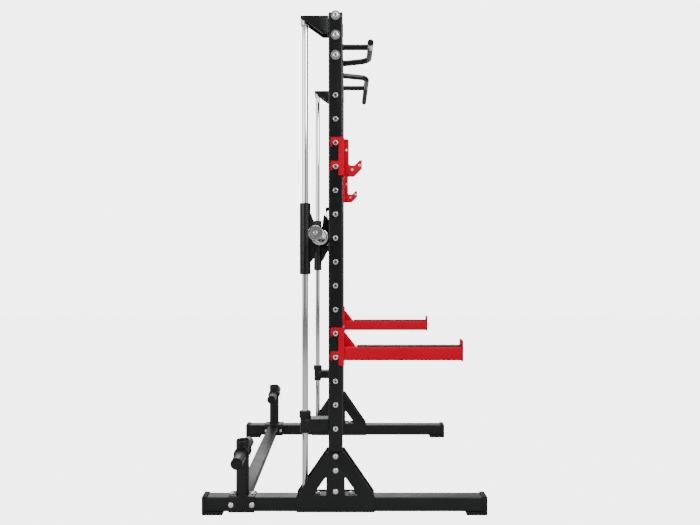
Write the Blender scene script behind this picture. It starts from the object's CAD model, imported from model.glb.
import math

import bmesh
import bpy
from mathutils import Matrix, Vector


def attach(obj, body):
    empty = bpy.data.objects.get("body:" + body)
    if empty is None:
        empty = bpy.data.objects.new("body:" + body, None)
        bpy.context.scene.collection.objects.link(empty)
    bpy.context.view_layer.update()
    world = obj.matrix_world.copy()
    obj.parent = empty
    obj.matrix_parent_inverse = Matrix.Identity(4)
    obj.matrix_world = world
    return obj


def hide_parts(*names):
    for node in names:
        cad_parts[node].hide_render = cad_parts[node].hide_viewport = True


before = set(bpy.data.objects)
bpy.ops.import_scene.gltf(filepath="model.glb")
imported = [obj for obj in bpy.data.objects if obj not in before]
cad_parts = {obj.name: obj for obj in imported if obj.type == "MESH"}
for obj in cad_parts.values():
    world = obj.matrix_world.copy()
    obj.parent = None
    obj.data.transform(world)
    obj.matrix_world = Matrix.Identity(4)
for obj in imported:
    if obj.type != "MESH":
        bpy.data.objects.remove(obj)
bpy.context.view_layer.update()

# ---------------------------------------------------------------- dimensions, metres
SIDES = {"left": -1, "right": 1}
X0 = 0.560                 # centre plane of each side
YU = 0.038                 # upright's axis
Y_ROD = 0.168
Y_STORE = 0.434            # storage post's axis
Y_BAR, Z_BAR = 0.097, 1.165
BAR = (Y_BAR, Z_BAR)
HALF = 0.030               # half of the square tube
GAP = 0.0003               # air between parts that bear on each other
WALL = 0.003               # of every rectangular tube
SHEET = 0.005              # that gussets, saddles and hangers are cut from
RUNNER_Z = 0.045
DECK = 0.0753              # just above the runners' top face
BEAM_Z = 2.065
ARM_Z = 0.38125            # arm that holds the rod's lower end
FLANGE_BOLTS = {"upper": 2.105, "middle": 2.022, "lower": 1.937}
STUDS = [0.366 + 0.1 * k for k in range(15)]
BROKEN_EDGE = 0.0006       # bevel on cut ends and sheared sheet


# ---------------------------------------------------------------- materials
def material(name, colour, rough, metal=0.0, bump=0.0, scale=900.0, spread=0.06, shade=0.0, gloss=0.5):
    """Principled material with object-space noise in its roughness, its colour and its bump."""
    mat = bpy.data.materials.new(name)
    mat.use_nodes = True
    nodes, links = mat.node_tree.nodes, mat.node_tree.links
    shader = nodes["Principled BSDF"]
    shader.inputs["Metallic"].default_value = metal
    shader.inputs["Specular IOR Level"].default_value = gloss
    where = nodes.new("ShaderNodeTexCoord")
    coarse = nodes.new("ShaderNodeTexNoise")
    coarse.inputs["Scale"].default_value = 7.0
    coarse.inputs["Detail"].default_value = 4.0
    links.new(where.outputs["Object"], coarse.inputs["Vector"])
    rough_range = nodes.new("ShaderNodeMapRange")
    rough_range.inputs["From Min"].default_value = 0.3
    rough_range.inputs["From Max"].default_value = 0.7
    rough_range.inputs["To Min"].default_value = max(0.02, rough - spread)
    rough_range.inputs["To Max"].default_value = rough + spread
    links.new(coarse.outputs["Fac"], rough_range.inputs["Value"])
    links.new(rough_range.outputs["Result"], shader.inputs["Roughness"])
    ramp = nodes.new("ShaderNodeValToRGB")
    dark = [c * (1 - shade) for c in colour]
    light = [min(1.0, c * (1 + shade)) for c in colour]
    ramp.color_ramp.elements[0].position = 0.35
    ramp.color_ramp.elements[0].color = (*dark, 1)
    ramp.color_ramp.elements[1].position = 0.65
    ramp.color_ramp.elements[1].color = (*light, 1)
    links.new(coarse.outputs["Fac"], ramp.inputs["Fac"])
    links.new(ramp.outputs["Color"], shader.inputs["Base Color"])
    if bump:
        fine = nodes.new("ShaderNodeTexNoise")
        fine.inputs["Scale"].default_value = scale
        fine.inputs["Detail"].default_value = 2.0
        links.new(where.outputs["Object"], fine.inputs["Vector"])
        node = nodes.new("ShaderNodeBump")
        node.inputs["Strength"].default_value = bump
        node.inputs["Distance"].default_value = 0.0004
        links.new(fine.outputs["Fac"], node.inputs["Height"])
        links.new(node.outputs["Normal"], shader.inputs["Normal"])
    return mat


BLACK = material("black_coat", (0.0026, 0.0029, 0.0037), 0.36, bump=0.10, scale=1400, shade=0.10,
                 gloss=0.34)
HOOK_STEEL = material("black_hook", (0.0035, 0.0036, 0.0040), 0.36, bump=0.05, scale=1200, gloss=0.22)
RED = material("red_coat", (0.44, 0.0, 0.0150), 0.40, bump=0.06, scale=1400, shade=0.03, gloss=0.06)
CHROME = material("polished_chrome", (0.74, 0.74, 0.75), 0.09, metal=1.0, spread=0.03)
ZINC = material("zinc_plate", (0.78, 0.78, 0.76), 0.28, metal=1.0, bump=0.05, scale=700, shade=0.05)
DARK_STEEL = material("bearing_steel_dark", (0.60, 0.60, 0.61), 0.34, metal=1.0)
BRONZE = material("bronze_bush", (0.45, 0.26, 0.10), 0.34, metal=1.0, shade=0.05)
PLASTIC = material("black_cap", (0.0050, 0.0050, 0.0055), 0.48, bump=0.12, scale=600, shade=0.05,
                   gloss=0.25)
RUBBER = material("black_rubber_pad", (0.0060, 0.0060, 0.0062), 0.62, bump=0.25, scale=500, shade=0.08,
                  gloss=0.22)
SOCKET = material("bolt_recess", (0.010, 0.010, 0.010), 0.6)


# ---------------------------------------------------------------- mesh helpers
def spot(axis, a, b, along):
    """Point at `along` on an axis, a and b being the other two coordinates in order."""
    return {"X": (along, a, b), "Y": (a, along, b), "Z": (a, b, along)}[axis]


def finish_mesh(bm, name, mat, body, replaces=(), angle=32.0, bevel=0.0, segments=2):
    """Turns a bmesh into a piece that rides on a body."""
    bmesh.ops.recalc_face_normals(bm, faces=bm.faces)
    mesh = bpy.data.meshes.new(name)
    bm.to_mesh(mesh)
    bm.free()
    mesh.materials.append(mat)
    obj = bpy.data.objects.new(name, mesh)
    bpy.context.scene.collection.objects.link(obj)
    if bevel:
        modifier = obj.modifiers.new("edges", "BEVEL")
        modifier.width = bevel
        modifier.segments = segments
        modifier.limit_method = "ANGLE"
        modifier.angle_limit = math.radians(40)
        bake(obj)
    for polygon in obj.data.polygons:
        polygon.use_smooth = True
    obj.data.set_sharp_from_angle(angle=math.radians(angle))
    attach(obj, body)
    if replaces:
        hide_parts(*replaces)
    return obj


def bake(obj):
    """Makes the modifiers part of the mesh."""
    depsgraph = bpy.context.evaluated_depsgraph_get()
    mesh = bpy.data.meshes.new_from_object(obj.evaluated_get(depsgraph))
    obj.modifiers.clear()
    obj.data = mesh


def bridge(bm, rings, closed):
    """Walls between rings of vertices; closed joins the last ring to the first."""
    pairs = list(zip(rings, rings[1:]))
    if closed:
        pairs.append((rings[-1], rings[0]))
    for ring, following in pairs:
        for index in range(len(ring)):
            after = (index + 1) % len(ring)
            bm.faces.new((ring[index], ring[after], following[after], following[index]))


def close_ends(bm, rings):
    bm.faces.new(rings[0])
    bm.faces.new(rings[-1])


def circle(radius, a, b, sides, start=0.0):
    return [(a + radius * math.cos(math.tau * s / sides + start),
             b + radius * math.sin(math.tau * s / sides + start)) for s in range(sides)]


def arc(centre, radius, start, end, steps):
    points = []
    for step in range(steps + 1):
        angle = math.radians(start + (end - start) * step / steps)
        points.append((centre[0] + radius * math.cos(angle), centre[1] + radius * math.sin(angle)))
    return points


def rounded(ca, cb, size_a, size_b, corner, steps=6):
    points = []
    for sa, sb, start in ((1, 1, 0), (-1, 1, 90), (-1, -1, 180), (1, -1, 270)):
        middle = (ca + sa * (size_a / 2 - corner), cb + sb * (size_b / 2 - corner))
        points += arc(middle, corner, start, start + 90, steps)
    return points


def soften(outline, radius, steps=5):
    """Rounds the corners of an outline. A point may carry its own radius as a third number."""
    result = []
    count = len(outline)
    for index, point in enumerate(outline):
        here = Vector(point[:2])
        own = point[2] if len(point) > 2 else radius
        before = Vector(outline[index - 1][:2]) - here
        after = Vector(outline[(index + 1) % count][:2]) - here
        if own <= 0 or before.length < 1e-9 or after.length < 1e-9:
            result.append(tuple(here))
            continue
        angle = before.angle(after)
        if angle > math.radians(176):
            result.append(tuple(here))
            continue
        reach = min(own / math.tan(angle / 2), 0.48 * before.length, 0.48 * after.length)
        first = here + before.normalized() * reach
        last = here + after.normalized() * reach
        for step in range(steps + 1):
            t = step / steps
            result.append(tuple(first * (1 - t) ** 2 + here * 2 * t * (1 - t) + last * t * t))
    return result


def lathe(name, profile, axis, centre, mat, body, closed=False, sides=40, replaces=(), angle=32.0,
          mirror=1):
    """(distance along the axis, radius) points spun round an axis; mirror -1 is for the left side."""
    bm = bmesh.new()
    rings = [[bm.verts.new(spot(axis, a, b, mirror * along))
              for a, b in circle(radius, centre[0], centre[1], sides)] for along, radius in profile]
    bridge(bm, rings, closed)
    if not closed:
        close_ends(bm, rings)
    return finish_mesh(bm, name, mat, body, replaces, angle)


def tube(name, centre, size, corner, axis, start, end, mat, body, replaces=(), steps=6):
    """Open rectangular tube with its end edges broken."""
    outer = rounded(*centre, *size, corner, steps)
    inner = rounded(*centre, size[0] - 2 * WALL, size[1] - 2 * WALL, corner / 2, steps)
    bm = bmesh.new()
    middle = Vector(centre)
    ends = []
    for point in outer:
        offset = Vector(point) - middle
        ends.append(tuple(middle + offset * (1 - BROKEN_EDGE / offset.length)))
    sections = [(start, ends), (start + BROKEN_EDGE, outer), (end - BROKEN_EDGE, outer), (end, ends),
                (end, inner), (start, inner)]
    rings = [[bm.verts.new(spot(axis, a, b, along)) for a, b in outline] for along, outline in sections]
    bridge(bm, rings, True)
    return finish_mesh(bm, name, mat, body, replaces)


def solid(name, outline, axis, start, end, mat, body, replaces=(), bevel=BROKEN_EDGE, segments=2):
    """Extruded outline with softened edges."""
    bm = bmesh.new()
    rings = [[bm.verts.new(spot(axis, a, b, along)) for a, b in outline] for along in (start, end)]
    bridge(bm, rings, False)
    close_ends(bm, rings)
    return finish_mesh(bm, name, mat, body, replaces, bevel=bevel, segments=segments)


def plate(name, outline, holes, axis, start, end, mat, body, replaces=(), bevel=BROKEN_EDGE):
    """Flat plate with holes and rounded edges, made from a filled curve."""
    curve = bpy.data.curves.new(name, "CURVE")
    curve.dimensions = "2D"
    curve.fill_mode = "BOTH"
    thickness = abs(end - start)
    middle = (start + end) / 2
    curve.extrude = thickness / 2 - bevel
    curve.bevel_depth = bevel
    curve.bevel_resolution = 1
    curve.offset = -bevel

    def signed(points):
        return sum(p[0] * q[1] - q[0] * p[1] for p, q in zip(points, points[1:] + points[:1])) / 2

    for number, points in enumerate([list(outline)] + [list(h) for h in holes]):
        if (signed(points) > 0) != (number == 0):
            points = points[::-1]
        spline = curve.splines.new("POLY")
        spline.points.add(len(points) - 1)
        for point, (a, b) in zip(spline.points, points):
            point.co = (a, b, 0, 1)
        spline.use_cyclic_u = True
    temp = bpy.data.objects.new(name, curve)
    bpy.context.scene.collection.objects.link(temp)
    bpy.context.view_layer.update()
    depsgraph = bpy.context.evaluated_depsgraph_get()
    mesh = bpy.data.meshes.new_from_object(temp.evaluated_get(depsgraph))
    bpy.data.objects.remove(temp)
    bpy.data.curves.remove(curve)
    bm = bmesh.new()
    bm.from_mesh(mesh)
    bpy.data.meshes.remove(mesh)
    bmesh.ops.remove_doubles(bm, verts=bm.verts, dist=0.00001)
    for vert in bm.verts:
        a, b, along = vert.co
        vert.co = spot(axis, a, b, middle + along)
    return finish_mesh(bm, name, mat, body, replaces)


def hoop(bm, point, tangent, radius, sides):
    """Ring of vertices round a point of a path, square to the path."""
    helper = Vector((0, 0, 1)) if abs(tangent.z) < 0.9 else Vector((0, 1, 0))
    across = tangent.cross(helper).normalized()
    upward = across.cross(tangent)
    return [bm.verts.new(point + (across * math.cos(math.tau * s / sides)
                                  + upward * math.sin(math.tau * s / sides)) * radius)
            for s in range(sides)]


def swept(name, path, radius, mat, body, replaces=()):
    """Round bar along a path."""
    bm = bmesh.new()
    rings = []
    for index, point in enumerate(path):
        tangent = (path[min(index + 1, len(path) - 1)] - path[max(index - 1, 0)]).normalized()
        rings.append(hoop(bm, point, tangent, radius, 24))
    bridge(bm, rings, False)
    close_ends(bm, rings)
    return finish_mesh(bm, name, mat, body, replaces, angle=40)


def weld_bead(name, path, radius, mat, body, closed=False):
    """A fillet of weld metal: a thin sweep whose radius ripples along its length."""
    points = []
    loop = path + [path[0]] if closed else path
    for start, end in zip(loop, loop[1:]):
        steps = max(2, int((Vector(end) - Vector(start)).length / 0.0022))
        for step in range(steps):
            points.append(Vector(start).lerp(Vector(end), step / steps))
    if not closed:
        points.append(Vector(loop[-1]))
    bm = bmesh.new()
    rings = []
    count = len(points)
    for index, point in enumerate(points):
        if closed:
            tangent = (points[(index + 1) % count] - points[index - 1]).normalized()
        else:
            tangent = (points[min(index + 1, count - 1)] - points[max(index - 1, 0)]).normalized()
        rings.append(hoop(bm, point, tangent, radius * (1 + 0.12 * math.sin(index * 2.1)), 6))
    bridge(bm, rings, closed)
    if not closed:
        close_ends(bm, rings)
    return finish_mesh(bm, name, mat, body, angle=60)


def ring_path(centre, radius, axis, along, steps=40):
    return [spot(axis, a, b, along) for a, b in circle(radius, centre[0], centre[1], steps)]


# ---------------------------------------------------------------- fasteners
def washer(name, axis, centre, face, out, radius, thick, body):
    """Flat washer standing on a face; out is the way it faces, 1 or -1."""
    hole = 0.004
    edge = min(0.0006, thick / 3)
    profile = [(face, hole), (face, radius - edge), (face + out * edge, radius),
               (face + out * (thick - edge), radius), (face + out * thick, radius - edge),
               (face + out * thick, hole)]
    return lathe(name, profile, axis, centre, ZINC, body, closed=True, sides=36)


def dome_bolt(name, axis, centre, face, out, radius, height, body):
    """Button-head bolt with a hexagonal socket."""
    socket = radius * 0.42
    depth = height * 0.55
    bm = bmesh.new()
    sides = 36
    rings = [[bm.verts.new(spot(axis, a, b, face)) for a, b in circle(radius, *centre, sides)]]
    for step in range(1, 6):
        angle = math.radians(18 * step)
        ring_radius = socket + (radius - socket) * math.cos(angle) ** 0.8 if step < 5 else socket * 1.08
        level = face + out * height * math.sin(angle)
        rings.append([bm.verts.new(spot(axis, a, b, level)) for a, b in circle(ring_radius, *centre, sides)])

    def hexagon(size, level):
        ring = []
        for s in range(sides):
            turn = math.tau * s / sides
            local = (turn % (math.tau / 6)) - math.pi / 6
            r = size * math.cos(math.pi / 6) / math.cos(local)
            ring.append(bm.verts.new(spot(axis, centre[0] + r * math.cos(turn),
                                          centre[1] + r * math.sin(turn), level)))
        return ring

    rings.append(hexagon(socket, face + out * height * 0.99))
    rings.append(hexagon(socket * 0.97, face + out * (height - depth)))
    bridge(bm, rings, False)
    close_ends(bm, rings)
    return finish_mesh(bm, name, ZINC, body, angle=28)


def hex_head(name, axis, centre, face, out, across, height, body):
    """Hexagon head or nut with its outer corners chamfered."""
    bm = bmesh.new()
    radius = across / math.sqrt(3)
    levels = [(0, radius), (height * 0.86, radius), (height, radius * 0.86)]
    rings = [[bm.verts.new(spot(axis, a, b, face + out * level))
              for a, b in circle(size, *centre, 6, 0.3)] for level, size in levels]
    bridge(bm, rings, False)
    close_ends(bm, rings)
    return finish_mesh(bm, name, ZINC, body, bevel=0.0004, angle=25)


def stud(name, side, direction, z, face, length):
    """Head of a hanger stud: a short round pin with a rounded rim and a dark round recess."""
    tip = face + direction * length
    profile = [(face, 0.0108), (tip - direction * 0.0020, 0.0108), (tip - direction * 0.0009, 0.0105),
               (tip - direction * 0.0003, 0.0098), (tip, 0.0090), (tip, 0.0042),
               (tip - direction * 0.004, 0.0040)]
    lathe(name, profile, "X", (YU, z), ZINC, "frame", sides=32, angle=40, mirror=side)
    recess = [(tip - direction * 0.0039, 0.0040), (tip - direction * 0.0030, 0.0039)]
    lathe(name + "_recess", recess, "X", (YU, z), SOCKET, "frame", sides=20, mirror=side)


# ---------------------------------------------------------------- base
def base(side_name, side):
    x = side * X0
    tube(f"runner_{side_name}", (x, RUNNER_Z), (2 * HALF, 2 * HALF), 0.006, "Y", -0.594, 0.594, BLACK,
         "frame", [f"base_runner_{side_name}"])
    for end_name, end in (("front", -1), ("rear", 1)):
        foot(side_name, x, end_name, end)
    for face_name, face in (("outer", 1), ("inner", -1)):
        gusset(side_name, side, face_name, face)


def foot(side_name, x, end_name, end):
    """Boot moulded in one: pad with treads, end wall with a shallow panel, and a lip on top."""
    name = f"end_foot_{side_name}_{end_name}"
    outline = [(0.5135, 0.0020, 0.001), (0.5155, 0, 0.0005), (0.5985, 0, 0.002), (0.6015, 0.003, 0.003),
               (0.6015, 0.0765, 0.003), (0.5993, 0.0780, 0.001), (0.5797, 0.0780, 0.0008),
               (0.5797, 0.0753, 0), (0.5943, 0.0753, 0), (0.5943, 0.0147, 0), (0.5135, 0.0147, 0.001)]
    outline = [(end * a, b) for a, b in soften(outline, 0.001, 4)]
    solid(name + "_boot", outline, "X", x - 0.031, x + 0.031, RUBBER, "frame", [name], bevel=0.0012,
          segments=3)
    for label, edge in (("a", -1), ("b", 1)):
        low = x + edge * 0.0304
        high = x + edge * 0.0310
        cheek = soften([(0.5797, 0.0153), (0.5943, 0.0153), (0.5943, 0.0765), (0.5797, 0.0765)], 0.001, 3)
        cheek = [(end * a, b) for a, b in cheek]
        solid(f"{name}_cheek_{label}", cheek, "X", low, high, RUBBER, "frame", bevel=0.0002)


def gusset(side_name, side, face_name, face):
    near = X0 + face * (HALF + GAP)
    far = near + face * SHEET
    name = f"gusset_{side_name}_{face_name}"
    outline = [(0.165, 0.0145, 0.003), (0.165, 0.082, 0.006), (0.0375, 0.2655, 0.006),
               (-0.0375, 0.2655, 0.006), (-0.165, 0.082, 0.006), (-0.165, 0.0145, 0.003)]
    outline = [(YU + a, b + (0.0015 if b > 0.2 else 0)) for a, b in soften(outline, 0.004, 5)]
    windows = []
    for way in (1, -1):
        window = [(0.0386, 0.085, 0.004), (0.0966, 0.085, 0.004), (0.0386, 0.166, 0.004)]
        windows.append([(YU + way * a, b) for a, b in soften(window, 0.004, 4)])
    plate(name + "_plate", outline, windows, "X", side * near, side * far, BLACK, "frame", [name])
    for number, z in enumerate((0.249, 0.190, 0.102)):
        bolt = f"{name}_bolt_{number}"
        washer(bolt + "_washer", "X", (YU, z), side * far, side * face, 0.0112, 0.0018, "frame")
        if face > 0:
            dome_bolt(bolt, "X", (YU, z), side * (far + 0.0018), side, 0.0092, 0.0052, "frame")
        else:
            hex_head(bolt, "X", (YU, z), side * (far - 0.0018), -side, 0.0150, 0.0065, "frame")


# ---------------------------------------------------------------- uprights
def upright(side_name, side):
    """Post welded to its foot plate, with its lid, studs and flange bolts."""
    x = side * X0
    tube(f"upright_tube_{side_name}", (x, YU), (2 * HALF, 2 * HALF), 0.006, "Z", DECK, 2.114, BLACK,
         "frame", [f"upright_{side_name}"])
    flange = soften([(x - 0.0294, -0.045), (x + 0.0294, -0.045), (x + 0.0294, 0.126), (x - 0.0294, 0.126)],
                    0.004, 4)
    plate(f"upright_foot_{side_name}", flange, [rounded(x, YU, 0.0595, 0.0595, 0.0058)], "Z", DECK,
          0.0813, BLACK, "frame")
    weld_bead(f"upright_foot_weld_{side_name}",
              [(a, b, 0.0815) for a, b in rounded(x, YU, 0.0605, 0.0605, 0.006)], 0.0022, BLACK, "frame",
              closed=True)
    for number, y in enumerate((-0.026, 0.112)):
        place = (x, y)
        washer(f"foot_bolt_washer_{side_name}_{number}", "Z", place, 0.0813, 1, 0.0100, 0.0016, "frame")
        hex_head(f"foot_bolt_{side_name}_{number}", "Z", place, 0.0829, 1, 0.0140, 0.0065, "frame")
    lid = rounded(x, YU, 0.060, 0.060, 0.006)
    solid(f"upright_lid_{side_name}", lid, "Z", 2.1143, 2.118, PLASTIC, "frame",
          [f"upright_cap_{side_name}"], bevel=0.0012, segments=3)
    for number, z in enumerate(STUDS):
        name = f"stud_{side_name}_{number:02d}"
        stud(name + "_outer", side, 1, z, X0 + HALF - 0.001, 0.013)
        stud(name + "_inner", side, -1, z, X0 - HALF + 0.001, 0.023)
    for level, z in FLANGE_BOLTS.items():
        name = f"flange_bolt_{side_name}_{level}"
        face = X0 + HALF + GAP
        profile = [(face, 0.0050), (face, 0.0196), (face + 0.0004, 0.0200), (face + 0.0026, 0.0200),
                   (face + 0.0030, 0.0196), (face + 0.0032, 0.0050)]
        lathe(name + "_washer", profile, "X", (YU, z), ZINC, "frame", closed=True, sides=48, mirror=side)
        dome_bolt(name + "_head", "X", (YU, z), side * (face + 0.0032), side, 0.0118, 0.0082, "frame")
        lathe(name + "_shank", [(face + 0.001, 0.0058), (0.5131, 0.0058)], "X", (YU, z), ZINC, "frame",
              sides=20, replaces=[name], mirror=side)
        hex_head(name + "_nut", "X", (YU, z), side * 0.5231, -side, 0.0155, 0.0080, "frame")


# ---------------------------------------------------------------- top
def top():
    tube("crossbeam_tube", (YU, BEAM_Z), (2 * HALF, 2 * HALF), 0.006, "X", -0.5237, 0.5237, BLACK,
         "frame", ["top_crossbeam"])
    for side_name, side in SIDES.items():
        outline = soften([(0.0085, 1.917), (0.0675, 1.917), (0.0675, 2.113), (0.0085, 2.113)], 0.005, 4)
        holes = [circle(0.0063, YU, FLANGE_BOLTS[level], 20) for level in ("middle", "lower")]
        plate(f"crossbeam_flange_{side_name}", outline, holes, "X", side * 0.5237, side * 0.5297, BLACK,
              "frame")
        weld_bead(f"crossbeam_weld_{side_name}",
                  [(side * 0.5233, a, b) for a, b in rounded(YU, BEAM_Z, 0.0602, 0.0602, 0.006)], 0.0022,
                  BLACK, "frame", closed=True)
        pull_up(side_name, side)


def bend(corners, radius, steps):
    """Path through corners, each one rounded."""
    path = [corners[0]]
    for before, corner, after in zip(corners, corners[1:], corners[2:]):
        arriving, leaving = (corner - before).normalized(), (after - corner).normalized()
        turn = arriving.angle(leaving)
        centre = corner + (leaving - arriving).normalized() * (radius / math.cos(turn / 2))
        first = corner - arriving * radius * math.tan(turn / 2) - centre
        pivot = arriving.cross(leaving).normalized()
        path += [centre + Matrix.Rotation(turn * s / steps, 3, pivot) @ first for s in range(steps + 1)]
    path.append(corners[-1])
    return path


def pull_up(side_name, side):
    """Grip bent out from the crossbeam and down to its free end, with a strut."""
    root, grip_y, grip_z, strut_x, radius = 0.0077, -0.118, 2.062, 0.329, 0.0140
    slant = 0.041 / (root - grip_y)
    corners = [Vector((side * (0.099 - slant * 0.002), root + 0.002, grip_z)),
               Vector((side * 0.140, grip_y, grip_z)), Vector((side * strut_x, grip_y, grip_z)),
               Vector((side * 0.499, -0.113, 2.023))]
    path = bend(corners, 0.055, 10)
    last = (path[-1] - path[-2]).normalized()
    path[-1] = path[-1] - last * 0.0025
    swept(f"pull_up_bar_{side_name}", path, radius, BLACK, "frame", [f"pull_up_grip_{side_name}"])
    place = (side * strut_x, grip_z)
    strut = [(root + 0.001, 0.0130), (-0.110, 0.0130)]
    lathe(f"pull_up_strut_{side_name}", strut, "Y", place, BLACK, "frame", sides=32)
    weld_bead(f"pull_up_strut_weld_{side_name}", ring_path(place, 0.0134, "Y", root - 0.0002, 28), 0.0018,
              BLACK, "frame", closed=True)
    ring = []
    for a, b in circle(1.0, 0, 0, 28):
        ring.append((side * 0.0994 + a * 0.0152, root - 0.0004, grip_z + b * 0.0144))
    weld_bead(f"pull_up_root_weld_{side_name}", ring, 0.0018, BLACK, "frame", closed=True)
    saddle = []
    for a, b in circle(0.0133, 0, 0, 28):
        reach = math.sqrt(radius ** 2 - b ** 2)
        saddle.append((side * strut_x + a, grip_y + reach + 0.0002, grip_z + b))
    weld_bead(f"pull_up_saddle_weld_{side_name}", saddle, 0.0016, BLACK, "frame", closed=True)
    bm = bmesh.new()
    rings = [hoop(bm, path[-1] + last * ahead, last, size, 28)
             for ahead, size in ((-0.0004, 0.0139), (0.0012, 0.0138), (0.0022, 0.0124))]
    bridge(bm, rings, False)
    close_ends(bm, rings)
    finish_mesh(bm, f"pull_up_cap_{side_name}", PLASTIC, "frame")


# ---------------------------------------------------------------- storage
def storage(side_name, side):
    """Saddle bolted over the runner, with an open post and the peg through it."""
    x = side * X0
    outside, inside = HALF + GAP + SHEET, HALF + GAP
    bend_radius = SHEET
    legs = ([(x - outside, 0.0135), (x - inside, 0.0135), (x - inside, DECK), (x + inside, DECK),
             (x + inside, 0.0135), (x + outside, 0.0135)]
            + arc((x + outside - bend_radius, 0.0803 - bend_radius), bend_radius, 0, 90, 5)
            + arc((x - outside + bend_radius, 0.0803 - bend_radius), bend_radius, 90, 180, 5))
    solid(f"saddle_{side_name}", legs, "Y", Y_STORE - 0.055, Y_STORE + 0.055, BLACK, "frame",
          [f"storage_post_{side_name}"], bevel=0.0007)
    post = [(0.0800, 0.0275), (0.2878, 0.0275), (0.2884, 0.0271), (0.2884, 0.0252), (0.0850, 0.0252),
            (0.0800, 0.0252)]
    lathe(f"post_{side_name}", post, "Z", (x, Y_STORE), BLACK, "frame", closed=True, sides=56)
    collar = [(0.2886, 0.0253), (0.2886, 0.0270), (0.2892, 0.0275), (0.3085, 0.0275), (0.3103, 0.0268),
              (0.3110, 0.0262), (0.3110, 0.0250), (0.3100, 0.0246), (0.2890, 0.0246)]
    lathe(f"post_ring_{side_name}", collar, "Z", (x, Y_STORE), PLASTIC, "frame", closed=True, sides=56)
    weld_bead(f"post_weld_{side_name}", ring_path((x, Y_STORE), 0.0282, "Z", 0.0808, 44), 0.0022, BLACK,
              "frame", closed=True)
    floor = [(0.0806, 0.0250), (0.0816, 0.0250)]
    lathe(f"post_floor_{side_name}", floor, "Z", (x, Y_STORE), BLACK, "frame", sides=40)
    peg(side_name, side)
    face = X0 + outside
    for number, way in enumerate((-1, 1)):
        across, above = (Y_STORE + way * 0.044, RUNNER_Z), (x, Y_STORE + way * 0.0445)
        ending = f"{side_name}_{number}"
        washer(f"saddle_bolt_washer_{ending}", "X", across, side * face, side, 0.0110, 0.0016, "frame")
        dome_bolt(f"saddle_bolt_{ending}", "X", across, side * (face + 0.0016), side, 0.0092, 0.0050,
                  "frame")
        washer(f"saddle_top_washer_{ending}", "Z", above, 0.0803, 1, 0.0085, 0.0014, "frame")
        hex_head(f"saddle_top_bolt_{ending}", "Z", above, 0.0817, 1, 0.0120, 0.0060, "frame")
        hex_head(f"crossmember_nut_{ending}", "X", across, side * 0.5183, -side, 0.0150, 0.0070, "frame")


def peg(side_name, side):
    """Peg through the post: tube, a stop ring each side, a domed plastic cap in each end."""
    place = (Y_STORE, 0.256)
    shell = [(-0.1485, 0.0240), (0.1485, 0.0240), (0.1490, 0.0236), (0.1490, 0.0216), (-0.1490, 0.0216),
             (-0.1490, 0.0236)]
    lathe(f"peg_{side_name}", [(side * X0 + a, r) for a, r in shell], "X", place, BLACK, "frame",
          closed=True, sides=48, replaces=[f"weight_peg_{side_name}"])
    for label, way in (("outer", 1), ("inner", -1)):
        start = 0.0278
        ring = [(start, 0.0241), (start, 0.0322), (start + 0.0008, 0.0330), (start + 0.0072, 0.0330),
                (start + 0.0080, 0.0322), (start + 0.0080, 0.0241)]
        lathe(f"peg_ring_{side_name}_{label}", [(X0 + way * a, r) for a, r in ring], "X", place, BLACK,
              "frame", closed=True, sides=56, mirror=side)
        weld_bead(f"peg_weld_{side_name}_{label}",
                  ring_path(place, 0.0246, "X", side * (X0 + way * (start + 0.0083)), 40), 0.0015, BLACK,
                  "frame", closed=True)
        cap = [(0.1380, 0.0200), (0.1380, 0.0214), (0.1490, 0.0214), (0.1491, 0.0236), (0.1496, 0.0240),
               (0.1500, 0.0236), (0.1500, 0.0205), (0.1485, 0.0195), (0.1485, 0.0020)]
        lathe(f"peg_cap_{side_name}_{label}", [(X0 + way * a, r) for a, r in cap], "X", place, PLASTIC,
              "frame", sides=48, mirror=side)


def crossmember():
    level = 0.059
    tube("crossmember_tube", (Y_STORE, level), (2 * HALF, HALF), 0.004, "X", -0.5183, 0.5183, BLACK,
         "frame", ["rear_crossmember"])
    for side_name, side in SIDES.items():
        outline = soften([(Y_STORE - 0.055, 0.018), (Y_STORE + 0.055, 0.018), (Y_STORE + 0.055, 0.075),
                          (Y_STORE - 0.055, 0.075)], 0.004, 4)
        plate(f"crossmember_flange_{side_name}", outline, [], "X", side * 0.5184, side * 0.5244, BLACK,
              "frame")
        weld_bead(f"crossmember_weld_{side_name}",
                  [(side * 0.5180, a, b) for a, b in rounded(Y_STORE, level, 0.0602, 0.0302, 0.004)],
                  0.0020, BLACK, "frame", closed=True)


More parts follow.
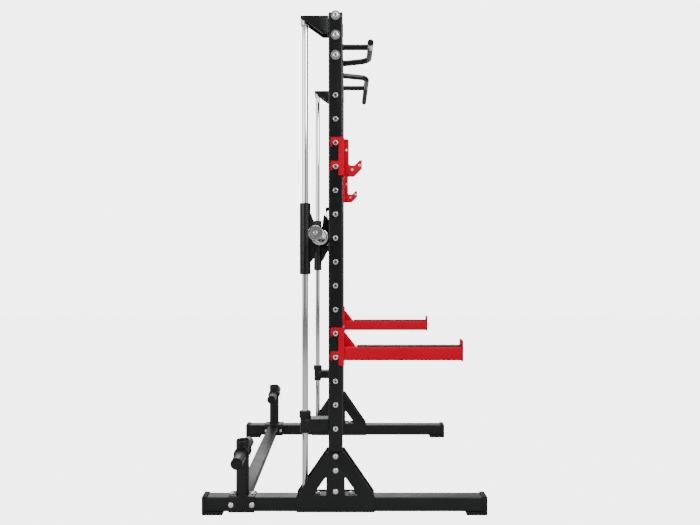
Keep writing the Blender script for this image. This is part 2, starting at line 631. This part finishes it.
# ---------------------------------------------------------------- guide rods
def rod(side_name, side):
    """Guide rod with its collar, base ring and top bracket."""
    x = side * X0
    place = (x, Y_ROD)
    profile = [(DECK, 0.0115), (0.0763, 0.0125), (2.0965, 0.0125), (2.0980, 0.0112)]
    lathe(f"rod_{side_name}", profile, "Z", place, CHROME, "frame", sides=64,
          replaces=[f"guide_rod_{side_name}"])
    nut = [(2.0690, 0.0130), (2.0690, 0.0168), (2.0702, 0.0180), (2.0966, 0.0180), (2.0978, 0.0170),
           (2.0978, 0.0130)]
    lathe(f"rod_top_collar_{side_name}", nut, "Z", place, ZINC, "frame", closed=True, sides=48)
    washer(f"rod_top_washer_{side_name}", "Z", place, 2.1038, 1, 0.0120, 0.0016, "frame")
    dome_bolt(f"rod_top_bolt_{side_name}", "Z", place, 2.1054, 1, 0.0100, 0.0050, "frame")
    base_ring = [(DECK, 0.0127), (DECK, 0.0210), (0.0761, 0.0218), (0.0815, 0.0218), (0.0823, 0.0210),
                 (0.0823, 0.0127)]
    lathe(f"rod_base_ring_{side_name}", base_ring, "Z", place, BLACK, "frame", closed=True, sides=48)
    cheek = soften([(0.0683, 2.1040, 0.001), (0.1860, 2.1040, 0.002), (0.1860, 2.0900, 0.004),
                    (0.1665, 2.0820, 0.005), (0.0936, 2.0300, 0.006), (0.0683, 2.0300, 0.001)], 0.003, 4)
    for label, low, high, names in (("outer", 0.024, 0.029, [f"rod_top_bracket_{side_name}"]),
                                    ("inner", -0.029, -0.024, [])):
        plate(f"rod_top_cheek_{side_name}_{label}", cheek, [], "X", side * (X0 + low), side * (X0 + high),
              BLACK, "frame", names)
    roof = soften([(x - 0.0246, 0.0688), (x + 0.0246, 0.0688), (x + 0.0246, 0.1852), (x - 0.0246, 0.1852)],
                  0.001, 2)
    plate(f"rod_top_roof_{side_name}", roof, [], "Z", 2.0986, 2.1038, BLACK, "frame")
    back = soften([(x - 0.0246, 2.0315), (x + 0.0246, 2.0315), (x + 0.0246, 2.0990), (x - 0.0246, 2.0990)],
                  0.001, 2)
    plate(f"rod_top_back_{side_name}", back, [], "Y", 0.0686, 0.0738, BLACK, "frame")
    support(side_name, side)


def support(side_name, side):
    """Arm from the upright to the rod, with the bumper on top."""
    x = side * X0
    place = (x, Y_ROD)
    sleeve = [(0.3430, 0.0130), (0.3430, 0.0203), (0.3438, 0.0210), (0.4042, 0.0210), (0.4050, 0.0203),
              (0.4050, 0.0130)]
    lathe(f"support_sleeve_{side_name}", sleeve, "Z", place, BLACK, "frame", closed=True, sides=56,
          replaces=[f"rod_support_{side_name}"])
    tube(f"support_arm_{side_name}", (x, ARM_Z), (2 * HALF, 0.0465), 0.005, "Y", 0.0683, 0.1480, BLACK,
         "frame", steps=5)
    for label, level in (("top", 0.4000), ("bottom", 0.3585)):
        shape = [(x - 0.0295, 0.1475), (x - 0.0205, 0.1660), (x + 0.0205, 0.1660), (x + 0.0295, 0.1475)]
        solid(f"support_taper_{side_name}_{label}", shape, "Z", level, level + 0.0045, BLACK, "frame")
    for label, way in (("a", 1), ("b", -1)):
        shape = [(x + way * 0.0300, 0.1472), (x + way * 0.0209, 0.1672), (x + way * 0.0179, 0.1672),
                 (x + way * 0.0270, 0.1472)]
        solid(f"support_side_{side_name}_{label}", shape, "Z", 0.3585, 0.4042, BLACK, "frame",
              bevel=0.0005)
    weld_bead(f"support_weld_{side_name}",
              [(a, 0.0690, b) for a, b in rounded(x, ARM_Z, 0.0604, 0.0470, 0.005, 4)], 0.0017, BLACK,
              "frame", closed=True)
    bumper = [(0.4053, 0.0129), (0.4053, 0.0244), (0.4059, 0.0250), (0.4290, 0.0250), (0.4310, 0.0246),
              (0.4324, 0.0236), (0.4330, 0.0220), (0.4330, 0.0135), (0.4324, 0.0129)]
    lathe(f"bumper_{side_name}", bumper, "Z", place, RUBBER, "frame", closed=True, sides=56,
          replaces=[f"rod_bumper_{side_name}"])


# ---------------------------------------------------------------- carriage and bar
def carriage(side_name, side):
    """Sleeve that slides on the rod, with two bearings, a web and the bar's boss."""
    x = side * X0
    place = (x, Y_ROD)
    low, high = Z_BAR - 0.151, Z_BAR + 0.151
    shell = [(low, 0.0205), (low, 0.0224), (low + 0.0006, 0.0230), (high - 0.0006, 0.0230),
             (high, 0.0224), (high, 0.0205)]
    lathe(f"slide_sleeve_{side_name}", shell, "Z", place, BLACK, "carriage", closed=True, sides=64,
          replaces=[f"carriage_{side_name}"])
    for label, end in (("upper", 1), ("lower", -1)):
        outermost = Z_BAR + end * 0.1468
        profile = [(outermost, 0.0131), (outermost, 0.0165), (outermost - end * 0.0012, 0.0168),
                   (outermost - end * 0.0012, 0.0180), (outermost, 0.0184), (outermost, 0.0198),
                   (outermost - end * 0.0006, 0.0200), (outermost - end * 0.0572, 0.0200),
                   (outermost - end * 0.0580, 0.0192), (outermost - end * 0.0580, 0.0131)]
        lathe(f"bearing_{side_name}_{label}", profile, "Z", place, DARK_STEEL, "carriage", closed=True,
              sides=56, replaces=[f"linear_bearing_{side_name}_{label}"])
        ring = [(outermost + end * 0.0003, 0.0176), (outermost + end * 0.0003, 0.0203),
                (outermost + end * 0.0016, 0.0203), (outermost + end * 0.0016, 0.0176)]
        lathe(f"bearing_clip_{side_name}_{label}", ring, "Z", place, ZINC, "carriage", closed=True, sides=40)
    web = [(0.1500, 0.111, 0), (0.1480, 0.1110, 0.002), (0.141, 0.102, 0.012), (0.130, 0.073, 0.03),
           (0.116, 0.036, 0.03), (0.104, 0.024, 0.004), (0.104, -0.024, 0.004), (0.107, -0.033, 0.01),
           (0.119, -0.058, 0.03), (0.131, -0.084, 0.03), (0.148, -0.103, 0.003), (0.1500, -0.103, 0)]
    web = [(a, Z_BAR + b) for a, b in soften(web, 0.01, 5)]
    plate(f"web_{side_name}", web, [], "X", side * (X0 - 0.004), side * (X0 + 0.004), BLACK, "carriage")
    for label, way in (("outer", 1), ("inner", -1)):
        edge = side * (X0 + way * 0.0043)
        path = [(edge, 0.1452, Z_BAR + b) for b in (0.109, 0.05, 0.0, -0.05, -0.101)]
        weld_bead(f"web_weld_{side_name}_{label}", path, 0.0019, BLACK, "carriage")
        arc_path = [(edge, a, b) for a, b in arc(BAR, 0.0253, -62, 62, 16)]
        weld_bead(f"boss_weld_{side_name}_{label}", arc_path, 0.0016, BLACK, "carriage")
    boss = [(X0 - 0.022, 0.0185), (X0 - 0.022, 0.0243), (X0 - 0.0213, 0.0250), (X0 + 0.0213, 0.0250),
            (X0 + 0.022, 0.0243), (X0 + 0.022, 0.0185)]
    lathe(f"boss_{side_name}", boss, "X", BAR, BLACK, "carriage", closed=True, sides=56, mirror=side)
    bush = [(X0 - 0.0220, 0.0147), (X0 - 0.0218, 0.0181), (X0 + 0.0218, 0.0181), (X0 + 0.0220, 0.0147)]
    lathe(f"bush_{side_name}", bush, "X", BAR, BRONZE, "carriage", closed=True, sides=48,
          replaces=[f"bar_bushing_{side_name}"], mirror=side)


def bar():
    profile = [(-1.0860, 0.0130), (-1.0850, 0.0140), (1.0850, 0.0140), (1.0860, 0.0130)]
    lathe("bar_shaft", profile, "X", BAR, CHROME, "bar", sides=48, replaces=["lift_bar"])
    for side_name, side in SIDES.items():
        hook(side_name, side)
        sleeve(side_name, side)


def hook(side_name, side):
    """Catch plate on a hub, with a clamping screw through its lower end."""
    name = f"bar_hook_{side_name}"
    stud_y, stud_z, turn = YU - Y_BAR, STUDS[9] - Z_BAR, math.radians(-15)
    reach, lean = math.hypot(stud_y, stud_z), math.degrees(math.atan2(-stud_y, stud_z))
    clear = 0.0115

    def polar(radius, angle):
        return (-radius * math.sin(math.radians(angle)), radius * math.cos(math.radians(angle)))

    def turned(a, b):
        return (Y_BAR + a * math.cos(turn) - b * math.sin(turn),
                Z_BAR + a * math.sin(turn) + b * math.cos(turn))

    points = [polar(reach + clear, lean + 5.3), polar(reach + clear, lean + 2.6)]
    points += arc((stud_y, stud_z), clear, 90 + lean, 0, 10)
    corner = soften([(stud_y + clear, 0.060, 0), (stud_y + clear, 0.045, 0.02), (-0.038, 0.022, 0.02),
                     (-0.040, -0.020, 0.015), (-0.032, -0.044, 0.012), (-0.020, -0.052, 0.010),
                     (0.000, -0.050, 0.020), (0.018, -0.034, 0.02), (0.024, -0.010, 0.02),
                     (0.021, 0.012, 0.02), (0.004, 0.034, 0.02), (-0.015, 0.055, 0.03),
                     (-0.037, 0.111, 0.06)], 0.01, 4)
    points += corner + [polar(0.134, lean - 9.3), polar(0.1375, lean - 7.8)]
    points += [polar(0.140, lean + step) for step in (-5.8, -3, -1, 2.2)]
    points += [polar(0.1385, lean + 3.6), polar(0.137, lean + 4.3)]
    plate(name + "_plate", [turned(a, b) for a, b in points], [circle(0.0143, *BAR, 32)], "X",
          side * 0.512, side * 0.520, HOOK_STEEL, "bar", [name], bevel=0.0008)
    hub = [(0.5080, 0.0143), (0.5080, 0.0212), (0.5088, 0.0220), (0.5332, 0.0220), (0.5340, 0.0212),
           (0.5340, 0.0143)]
    lathe(name + "_hub", hub, "X", BAR, HOOK_STEEL, "bar", closed=True, sides=48, mirror=side)
    where = turned(-0.018, -0.029)
    dome_bolt(name + "_screw", "X", where, side * 0.520, side, 0.0062, 0.0040, "bar")
    dome_bolt(name + "_screw_inner", "X", where, side * 0.512, -side, 0.0062, 0.0040, "bar")
    for label, place in (("outer", 0.5202), ("inner", 0.5118)):
        weld_bead(f"{name}_weld_{label}", ring_path(BAR, 0.0224, "X", side * place), 0.0013, HOOK_STEEL,
                  "bar", closed=True)


def sleeve(side_name, side):
    """Weight sleeve with its end cap, and the stop ring that keeps it on the bar."""
    body = f"sleeve_{side_name}"
    name = f"weight_sleeve_{side_name}"
    profile = [(0.7460, 0.0146), (0.7460, 0.0300), (0.7466, 0.0312), (0.7480, 0.0320), (0.7560, 0.0320),
               (0.7574, 0.0312), (0.7580, 0.0300), (0.7580, 0.0266), (0.7592, 0.0254), (0.7610, 0.0250),
               (1.0968, 0.0250), (1.0988, 0.0246), (1.0998, 0.0238), (1.1000, 0.0230), (1.1000, 0.0215),
               (1.0994, 0.0210), (1.0890, 0.0210), (1.0890, 0.0146)]
    lathe(name + "_shell", profile, "X", BAR, CHROME, body, closed=True, sides=72, replaces=[name],
          mirror=side)
    cap = [(1.0893, 0.0206), (1.0972, 0.0206), (1.0980, 0.0198), (1.0980, 0.0150), (1.0972, 0.0142),
           (1.0972, 0.0060)]
    lathe(f"sleeve_end_{side_name}", cap, "X", BAR, DARK_STEEL, body, sides=56,
          replaces=[f"sleeve_cap_{side_name}"], mirror=side)
    clip = [(1.0973, 0.0110), (1.0973, 0.0132), (1.0986, 0.0132), (1.0986, 0.0110)]
    lathe(f"sleeve_clip_{side_name}", clip, "X", BAR, ZINC, body, closed=True, mirror=side)
    dome_bolt(f"sleeve_screw_{side_name}", "X", BAR, side * 1.0970, side, 0.0068, 0.0026, body)
    collar = [(0.7400, 0.0143), (0.7400, 0.0200), (0.7406, 0.0206), (0.7450, 0.0206), (0.7454, 0.0200),
              (0.7454, 0.0143)]
    lathe(f"sleeve_stop_{side_name}", collar, "X", BAR, CHROME, "bar", closed=True, sides=48, mirror=side)


# ---------------------------------------------------------------- hooks and arms on the studs
def forward(points, top):
    """Points given as distances ahead of the upright's axis and above a stud, put in place."""
    return [(YU - p[0], top + p[1], *p[2:]) for p in points]


def hanger(name, side, top, body, replaces=()):
    """Bracket round the front of the upright: two cheeks with two fingers each, and a front plate."""
    slot, rear = 0.0113, 0.0215
    for label, way in (("outer", 1), ("inner", -1)):
        outline = [(HALF + 0.0055, 0.025, 0.003)]
        for level in (0.0, -0.1):
            high = level + 0.025
            if level < 0:
                outline.append((slot, high, 0.003))
            outline += [(-rear, high, 0.007), (-rear, level - 0.014, 0.003), (-slot, level - 0.014, 0.002)]
            outline += [(a, b, 0) for a, b in arc((0, level), slot, 180, 0, 14)]
        outline += [(slot, -0.136, 0.004), (HALF + 0.0055, -0.136, 0.003)]
        shape = soften(forward(outline, top), 0.003, 4)
        near = X0 + way * (HALF + GAP)
        plate(f"{name}_cheek_{label}", shape, [], "X", side * near, side * (near + way * SHEET), RED, body,
              replaces if label == "outer" else ())
    front = YU - HALF - GAP
    x = side * X0
    face = soften([(x - 0.0349, top - 0.137), (x + 0.0349, top - 0.137), (x + 0.0349, top + 0.026),
                   (x - 0.0349, top + 0.026)], 0.004, 4)
    plate(f"{name}_front", face, [], "Y", front - 0.006, front, RED, body, bevel=0.0012)


def cradle(proud, back):
    """The hook's profile, as distances ahead of the upright's axis and above the upper stud."""
    stem, floor = 0.054 + proud, -0.092 + proud
    return [(back, 0.021, 0.001), (stem, 0.021, 0.009), (stem, floor, 0.014),
            (0.0800 - proud / 2, floor, 0.010), (0.1045 - proud, -0.0685 + proud / 2, 0.003),
            (0.1115, -0.0685, 0.005), (0.1115, -0.102, 0.006), (0.078, -0.136, 0.006),
            (back, -0.136, 0.001)]


def j_hook(side_name, side):
    body, name, top = f"jhook_{side_name}", f"j_hook_{side_name}", STUDS[12]
    hanger(name, side, top, body, [name])
    outline = soften(forward(cradle(0, HALF + 0.0062), top), 0.004, 6)
    core = soften(forward(cradle(0.002, HALF + 0.0066), top), 0.004, 6)
    for label, low, high in (("outer", 0.010, 0.015), ("inner", -0.015, -0.010)):
        plate(f"{name}_side_{label}", outline, [], "X", side * (X0 + low), side * (X0 + high), RED, body,
              bevel=0.0009)
    plate(f"{name}_core", core, [], "X", side * (X0 - 0.0097), side * (X0 + 0.0097), PLASTIC, body,
          [f"j_hook_core_{side_name}"], bevel=0.0010)
    for number, (ahead, height) in enumerate(((0.044, -0.028), (0.070, -0.110), (0.101, -0.091))):
        where = (YU - ahead, top + height)
        for label, way in (("outer", 1), ("inner", -1)):
            dome_bolt(f"{name}_screw_{number}_{label}", "X", where, side * (X0 + way * 0.0150), side * way,
                      0.0062, 0.0036, body)


def spotter(side_name, side):
    body, name, top = f"spotter_{side_name}", f"spotter_arm_{side_name}", STUDS[4]
    hanger(name, side, top, body, [name])
    x, level = side * X0, top - 0.0865
    tube(f"{name}_tube", (x, level), (2 * HALF, 0.057), 0.006, "Y", -0.4938, 0.0020, RED, body)
    stop = soften([(x - 0.031, top - 0.119), (x + 0.031, top - 0.119), (x + 0.031, top - 0.029),
                   (x - 0.031, top - 0.029)], 0.006, 5)
    plate(f"{name}_stop", stop, [], "Y", -0.4999, -0.4939, RED, body, bevel=0.0012)
    gusset_points = [(0.0355, 0.001, 0.001), (0.0400, 0.001, 0.003), (0.0780, -0.047, 0.004),
                     (0.0860, -0.0585, 0.001), (0.0355, -0.0585, 0)]
    plate(f"{name}_web", soften(forward(gusset_points, top), 0.002, 4), [], "X", x - 0.003, x + 0.003,
          RED, body, bevel=0.0008)
    weld_bead(f"{name}_weld", [(a, 0.0012, b) for a, b in rounded(x, level, 0.0604, 0.0574, 0.006, 4)],
              0.0020, RED, body, closed=True)
    weld_bead(f"{name}_stop_weld",
              [(a, -0.4934, b) for a, b in rounded(x, level, 0.0600, 0.0572, 0.006, 4)], 0.0014, RED, body,
              closed=True)
    low = top - 0.058 + GAP
    pad = soften([(x - 0.026, low, 0), (x + 0.026, low, 0), (x + 0.026, low + 0.003, 0.001),
                  (x - 0.026, low + 0.003, 0.001)], 0.001, 3)
    solid(f"{name}_strip", pad, "Y", -0.4937, -0.0540, RUBBER, body, [f"spotter_pad_{side_name}"],
          bevel=0.0005)


for side_label, sign in SIDES.items():
    base(side_label, sign)
    upright(side_label, sign)
    storage(side_label, sign)
    rod(side_label, sign)
    carriage(side_label, sign)
    j_hook(side_label, sign)
    spotter(side_label, sign)
top()
crossmember()
bar()


# ---------------------------------------------------------------- floor, light and camera
WHITE = 5.0                              # what the camera sees behind the machine
ROOM_DARK, ROOM_LIGHT = 0.22, 1.25       # what the machine reflects, in bands round the room
ROOM_BANDS, ROOM_TURN = 3.0, 0.35


def floor():
    bm = bmesh.new()
    corners = [bm.verts.new(c) for c in ((-9, -9, 0), (9, -9, 0), (9, 9, 0), (-9, 9, 0))]
    bm.faces.new(corners)
    mesh = bpy.data.meshes.new("floor")
    bm.to_mesh(mesh)
    bm.free()
    mat = bpy.data.materials.new("floor_white")
    mat.use_nodes = True
    nodes, links = mat.node_tree.nodes, mat.node_tree.links
    shader = nodes["Principled BSDF"]
    shader.inputs["Base Color"].default_value = (0.45, 0.45, 0.45, 1)
    shader.inputs["Roughness"].default_value = 0.9
    shader.inputs["Specular IOR Level"].default_value = 0.1
    glow = nodes.new("ShaderNodeEmission")
    glow.inputs["Strength"].default_value = WHITE
    path = nodes.new("ShaderNodeLightPath")
    shown = nodes.new("ShaderNodeMath")
    shown.operation = "MULTIPLY"
    shown.inputs[1].default_value = 0.94
    mix = nodes.new("ShaderNodeMixShader")
    links.new(path.outputs["Is Camera Ray"], shown.inputs[0])
    links.new(shown.outputs[0], mix.inputs["Fac"])
    links.new(shader.outputs["BSDF"], mix.inputs[1])
    links.new(glow.outputs["Emission"], mix.inputs[2])
    links.new(mix.outputs["Shader"], nodes["Material Output"].inputs["Surface"])
    mesh.materials.append(mat)
    obj = bpy.data.objects.new("floor", mesh)
    bpy.context.scene.collection.objects.link(obj)


def area(name, place, target, size, power):
    light = bpy.data.lights.new(name, "AREA")
    light.shape = "RECTANGLE"
    light.size, light.size_y = size
    light.energy = power
    obj = bpy.data.objects.new(name, light)
    obj.location = place
    aim = Vector(target) - Vector(place)
    obj.rotation_euler = aim.to_track_quat("-Z", "Y").to_euler()
    bpy.context.scene.collection.objects.link(obj)


floor()
area("key", (-3.2, -2.6, 3.4), (0, 0, 1.1), (2.0, 2.0), 170)
area("fill", (-3.4, 3.0, 2.4), (0, 0, 1.0), (2.2, 2.2), 90)
area("top", (0, 0, 4.6), (0, 0, 0), (3.5, 3.5), 130)
area("back", (3.4, 0.4, 2.6), (0, 0, 1.2), (2.5, 2.0), 60)


def studio():
    """White where the camera looks; what the machine reflects is a room with pale and dark bands."""
    world = bpy.data.worlds.new("studio")
    bpy.context.scene.world = world
    world.use_nodes = True
    nodes, links = world.node_tree.nodes, world.node_tree.links
    shown = nodes.new("ShaderNodeBackground")
    shown.inputs["Color"].default_value = (1, 1, 1, 1)
    shown.inputs["Strength"].default_value = WHITE
    where = nodes.new("ShaderNodeTexCoord")
    split = nodes.new("ShaderNodeSeparateXYZ")
    links.new(where.outputs["Generated"], split.inputs["Vector"])
    turn = nodes.new("ShaderNodeMath")
    turn.operation = "ARCTAN2"
    links.new(split.outputs["Y"], turn.inputs[0])
    links.new(split.outputs["X"], turn.inputs[1])
    bands = nodes.new("ShaderNodeMath")
    bands.operation = "MULTIPLY_ADD"
    bands.inputs[1].default_value = ROOM_BANDS
    bands.inputs[2].default_value = ROOM_TURN
    links.new(turn.outputs[0], bands.inputs[0])
    wave = nodes.new("ShaderNodeMath")
    wave.operation = "COSINE"
    links.new(bands.outputs[0], wave.inputs[0])
    ramp = nodes.new("ShaderNodeMapRange")
    ramp.inputs["From Min"].default_value = -0.4
    ramp.inputs["From Max"].default_value = 0.6
    ramp.inputs["To Min"].default_value = ROOM_DARK
    ramp.inputs["To Max"].default_value = ROOM_LIGHT
    links.new(wave.outputs[0], ramp.inputs["Value"])
    room = nodes.new("ShaderNodeBackground")
    links.new(ramp.outputs["Result"], room.inputs["Strength"])
    path = nodes.new("ShaderNodeLightPath")
    mix = nodes.new("ShaderNodeMixShader")
    links.new(path.outputs["Is Camera Ray"], mix.inputs["Fac"])
    links.new(room.outputs["Background"], mix.inputs[1])
    links.new(shown.outputs["Background"], mix.inputs[2])
    links.new(mix.outputs["Shader"], nodes["World Output"].inputs["Surface"])


studio()
camera = bpy.data.cameras.new("camera")
camera.sensor_width = 36.0
camera.lens = 30.96
camera.shift_x = 0.005
camera.shift_y = -0.0017
viewer = bpy.data.objects.new("camera", camera)
viewer.location = (-3.123, -0.008, 1.069)
viewer.rotation_euler = (math.pi / 2, 0, -math.pi / 2)
bpy.context.scene.collection.objects.link(viewer)
bpy.context.scene.camera = viewer
